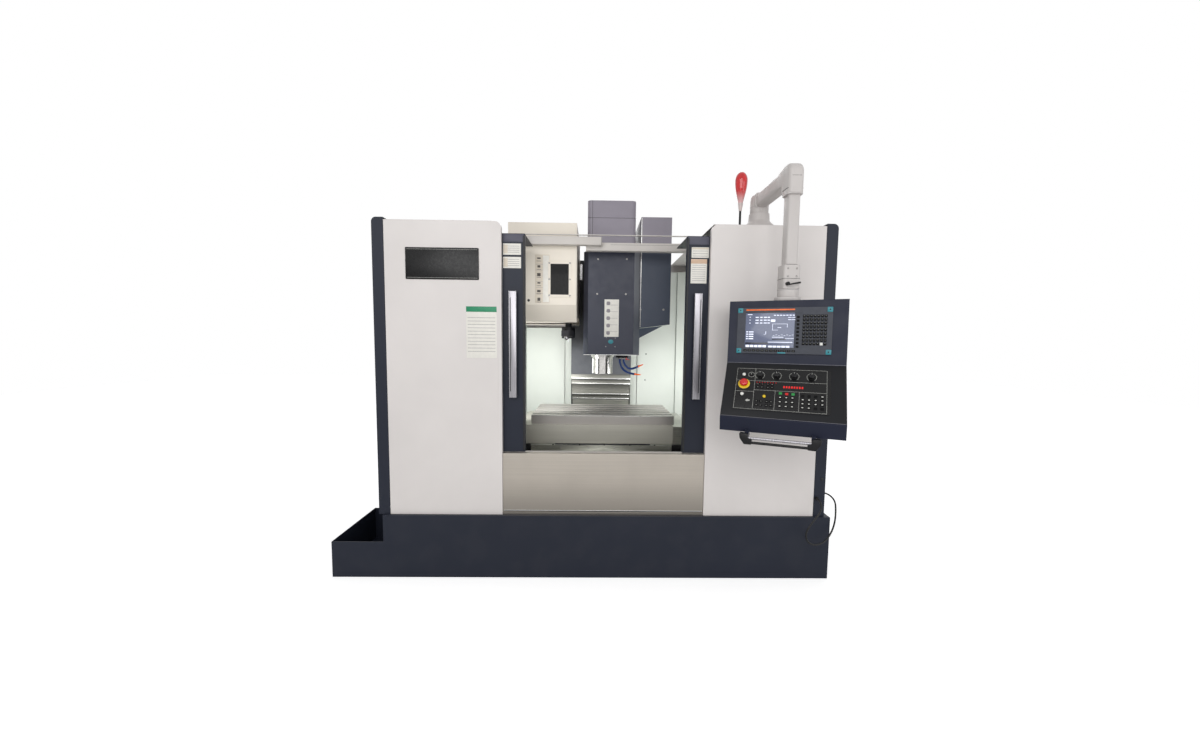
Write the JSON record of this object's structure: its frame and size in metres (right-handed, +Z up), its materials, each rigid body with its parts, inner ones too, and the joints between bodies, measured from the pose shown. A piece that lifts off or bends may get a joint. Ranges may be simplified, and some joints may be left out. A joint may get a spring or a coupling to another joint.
{
  "type": "vertical machining center",
  "caption": "Enclosed vertical machining center with sliding doors, a cross-slide table, a tool magazine, a milling head and a control box on a swinging arm.",
  "frame": {"origin": "on the floor, under the middle of the door opening, in the plane of the front panels", "axes": "+X to the operator's right, +Y into the machine, +Z up"},
  "size_m": [3.1314, 3.0763, 2.524],
  "materials": {
    "panel_paint": "warm light grey paint, satin",
    "dark_paint": "dark blue-grey paint, satin",
    "cabin_paint": "bright white paint inside the cabin",
    "motor_paint": "mid grey paint",
    "arm_paint": "light grey paint",
    "box_paint": "navy paint, fine texture",
    "brushed_sheet": "brushed stainless sheet",
    "ground_steel": "ground and milled steel",
    "bright_steel": "hard chromed or polished steel",
    "nose_steel": "cast and turned light metal",
    "bed_iron": "cast iron, painted grey",
    "table_iron": "milled cast iron",
    "dark_metal": "black painted metal",
    "lamp_red": "red translucent lens",
    "pane_glass": "clear polycarbonate",
    "screen_plastic": "dark plastic bezel with a screen",
    "hose_plastic": "blue segmented plastic",
    "button_red": "red plastic",
    "button_white": "white plastic",
    "knob_black": "black plastic",
    "cord_rubber": "black rubber"
  },
  "bodies": {
    "machine_frame": {"apron": "brushed_sheet", "arm_post": "arm_paint", "cabin_walls": "cabin_paint", "cabinet_panels": "panel_paint", "column": "bed_iron", "coolant_tank": "dark_paint", "cord": "cord_rubber", "cord_glands": "knob_black", "door_guides": "cabin_paint", "electrical_cabinet": "panel_paint", "feed_drives": "dark_metal", "fixed_covers": "brushed_sheet", "guide_rails": "bright_steel", "levelling_feet": "ground_steel", "machine_base": "bed_iron", "magazine_cover": "panel_paint", "magazine_frame": "dark_metal", "magazine_window": "pane_glass", "side_panels": "dark_paint", "signal_lamp": "lamp_red"},
    "saddle": {"saddle": "bed_iron", "saddle_covers": "brushed_sheet"},
    "table": {"table": "table_iron", "table_skirt": "brushed_sheet"},
    "x_cover_inner": {"x_cover_inner": "brushed_sheet"},
    "x_cover_outer": {"x_cover_outer": "brushed_sheet"},
    "y_cover_1": {"y_cover_1": "brushed_sheet"},
    "y_cover_2": {"y_cover_2": "brushed_sheet"},
    "y_cover_3": {"y_cover_3": "brushed_sheet"},
    "head": {"head_casting": "bed_iron", "head_covers": "dark_paint", "spindle_nose": "nose_steel", "spindle_motor": "dark_metal", "coolant_nozzles": "hose_plastic"},
    "z_cover_1": {"z_cover_1": "brushed_sheet"},
    "z_cover_2": {"z_cover_2": "brushed_sheet"},
    "z_cover_3": {"z_cover_3": "brushed_sheet"},
    "z_cover_4": {"z_cover_4": "brushed_sheet"},
    "spindle": {"spindle": "ground_steel"},
    "x_screw": {"x_screw": "bright_steel"},
    "y_screw": {"y_screw": "bright_steel"},
    "z_screw": {"z_screw": "bright_steel"},
    "tool_reel": {"tool_reel": "nose_steel"},
    "change_arm": {"change_arm": "nose_steel"},
    "door_left": {"door_left": "dark_paint", "door_pane_left": "pane_glass"},
    "door_right": {"door_right": "dark_paint", "door_pane_right": "pane_glass"},
    "cabinet_door": {"cabinet_door": "panel_paint"},
    "support_arm": {"support_arm": "arm_paint"},
    "control_box": {"control_box": "box_paint", "screen_unit": "screen_plastic"},
    "clamp_lever": {"clamp_lever": "knob_black"},
    "stop_button": {"stop_button": "button_red"},
    "start_button": {"start_button": "button_white"},
    "hold_button": {"hold_button": "button_white"},
    "dial_1": {"dial_1": "knob_black"},
    "dial_2": {"dial_2": "knob_black"},
    "dial_3": {"dial_3": "knob_black"},
    "dial_4": {"dial_4": "knob_black"}
  },
  "joints": [
    {"name": "saddle_slide", "type": "slide", "parent": "machine_frame", "child": "saddle", "axis": [0, 1, 0], "range_m": [-0.175, 0.375]},
    {"name": "table_slide", "type": "slide", "parent": "saddle", "child": "table", "axis": [1, 0, 0], "range_m": [-0.4, 0.4]},
    {"name": "head_slide", "type": "slide", "parent": "machine_frame", "child": "head", "axis": [0, 0, 1], "range_m": [-0.15, 0.4]},
    {"name": "y_cover_1_slide", "type": "slide", "parent": "machine_frame", "child": "y_cover_1", "axis": [0, 1, 0], "range_m": [-0.13125, 0.28125]},
    {"name": "y_cover_2_slide", "type": "slide", "parent": "machine_frame", "child": "y_cover_2", "axis": [0, 1, 0], "range_m": [-0.0875, 0.1875]},
    {"name": "y_cover_3_slide", "type": "slide", "parent": "machine_frame", "child": "y_cover_3", "axis": [0, 1, 0], "range_m": [-0.04375, 0.09375]},
    {"name": "x_cover_inner_slide", "type": "slide", "parent": "saddle", "child": "x_cover_inner", "axis": [1, 0, 0], "range_m": [-0.26, 0.26]},
    {"name": "x_cover_outer_slide", "type": "slide", "parent": "saddle", "child": "x_cover_outer", "axis": [1, 0, 0], "range_m": [-0.12, 0.12]},
    {"name": "z_cover_1_slide", "type": "slide", "parent": "machine_frame", "child": "z_cover_1", "axis": [0, 0, 1], "range_m": [-0.12, 0.32]},
    {"name": "z_cover_2_slide", "type": "slide", "parent": "machine_frame", "child": "z_cover_2", "axis": [0, 0, 1], "range_m": [-0.09, 0.24]},
    {"name": "z_cover_3_slide", "type": "slide", "parent": "machine_frame", "child": "z_cover_3", "axis": [0, 0, 1], "range_m": [-0.06, 0.16]},
    {"name": "z_cover_4_slide", "type": "slide", "parent": "machine_frame", "child": "z_cover_4", "axis": [0, 0, 1], "range_m": [-0.03, 0.08]},
    {"name": "x_screw_turn", "type": "hinge", "parent": "saddle", "child": "x_screw", "pos_m": [0, 0.7, 0.769], "axis": [1, 0, 0], "range_deg": [-14400.5, 14400.5]},
    {"name": "y_screw_turn", "type": "hinge", "parent": "machine_frame", "child": "y_screw", "pos_m": [0, 0.7, 0.535], "axis": [0, 1, 0], "range_deg": [-6300.5, 13500.5]},
    {"name": "z_screw_turn", "type": "hinge", "parent": "machine_frame", "child": "z_screw", "pos_m": [0, 1.459, 1.5], "axis": [0, 0, 1], "range_deg": [-5400.5, 14400.5]},
    {"name": "spindle_turn", "type": "hinge", "parent": "head", "child": "spindle", "pos_m": [0, 0.8, 1.3], "axis": [0, 0, 1], "continuous": true},
    {"name": "reel_turn", "type": "hinge", "parent": "machine_frame", "child": "tool_reel", "pos_m": [-0.55, 0.82, 1.925], "axis": [1, 0, 0], "continuous": true},
    {"name": "change_arm_lift", "type": "slide", "parent": "machine_frame", "child": "change_arm", "axis": [0, 0, -1], "range_m": [0, 0.115]},
    {"name": "door_left_slide", "type": "slide", "parent": "machine_frame", "child": "door_left", "axis": [1, 0, 0], "range_m": [0, 0.482]},
    {"name": "door_right_slide", "type": "slide", "parent": "machine_frame", "child": "door_right", "axis": [-1, 0, 0], "range_m": [0, 0.482]},
    {"name": "cabinet_door_hinge", "type": "hinge", "parent": "machine_frame", "child": "cabinet_door", "pos_m": [-0.439, 2.38, 1.3], "axis": [0, 0, 1], "range_deg": [0, 110]},
    {"name": "support_arm_swing", "type": "hinge", "parent": "machine_frame", "child": "support_arm", "pos_m": [0.965, 0.2, 2.3], "axis": [0, 0, 1], "range_deg": [-10, 25]},
    {"name": "control_box_turn", "type": "hinge", "parent": "support_arm", "child": "control_box", "pos_m": [0.965, -0.275, 1.75], "axis": [0, 0, 1], "range_deg": [-10, 25]},
    {"name": "clamp_lever_turn", "type": "hinge", "parent": "support_arm", "child": "clamp_lever", "pos_m": [0.939, -0.33, 1.772], "axis": [0, 1, 0], "range_deg": [0, 70]},
    {"name": "stop_button_press", "type": "slide", "parent": "control_box", "child": "stop_button", "axis": [0.3451, 0.7401, -0.5772], "range_m": [0, 0.006], "stiffness_N_per_m": 1500},
    {"name": "start_button_press", "type": "slide", "parent": "control_box", "child": "start_button", "axis": [0.3451, 0.7401, -0.5772], "range_m": [0, 0.003], "stiffness_N_per_m": 800},
    {"name": "hold_button_press", "type": "slide", "parent": "control_box", "child": "hold_button", "axis": [0.3451, 0.7401, -0.5772], "range_m": [0, 0.003], "stiffness_N_per_m": 800},
    {"name": "dial_1_turn", "type": "hinge", "parent": "control_box", "child": "dial_1", "pos_m": [0.79071, -0.38848, 1.29908], "axis": [0.3451, 0.7401, -0.5772], "range_deg": [-60, 60]},
    {"name": "dial_2_turn", "type": "hinge", "parent": "control_box", "child": "dial_2", "pos_m": [0.86322, -0.42229, 1.29908], "axis": [0.3451, 0.7401, -0.5772], "range_deg": [-60, 60]},
    {"name": "dial_3_turn", "type": "hinge", "parent": "control_box", "child": "dial_3", "pos_m": [0.93753, -0.45695, 1.29908], "axis": [0.3451, 0.7401, -0.5772], "range_deg": [-60, 60]},
    {"name": "dial_4_turn", "type": "hinge", "parent": "control_box", "child": "dial_4", "pos_m": [1.01004, -0.49076, 1.29908], "axis": [0.3451, 0.7401, -0.5772], "range_deg": [-60, 60]}
  ],
  "couplings": [
    {"joint": "y_cover_1_slide", "follows": "saddle_slide", "ratio": 0.75},
    {"joint": "y_cover_2_slide", "follows": "saddle_slide", "ratio": 0.5},
    {"joint": "y_cover_3_slide", "follows": "saddle_slide", "ratio": 0.25},
    {"joint": "x_cover_inner_slide", "follows": "table_slide", "ratio": 0.65},
    {"joint": "x_cover_outer_slide", "follows": "table_slide", "ratio": 0.3},
    {"joint": "z_cover_1_slide", "follows": "head_slide", "ratio": 0.8},
    {"joint": "z_cover_2_slide", "follows": "head_slide", "ratio": 0.6},
    {"joint": "z_cover_3_slide", "follows": "head_slide", "ratio": 0.4},
    {"joint": "z_cover_4_slide", "follows": "head_slide", "ratio": 0.2},
    {"joint": "x_screw_turn", "follows": "table_slide", "rad_per_m": 628.32},
    {"joint": "y_screw_turn", "follows": "saddle_slide", "rad_per_m": 628.32},
    {"joint": "z_screw_turn", "follows": "head_slide", "rad_per_m": 628.32}
  ]
}
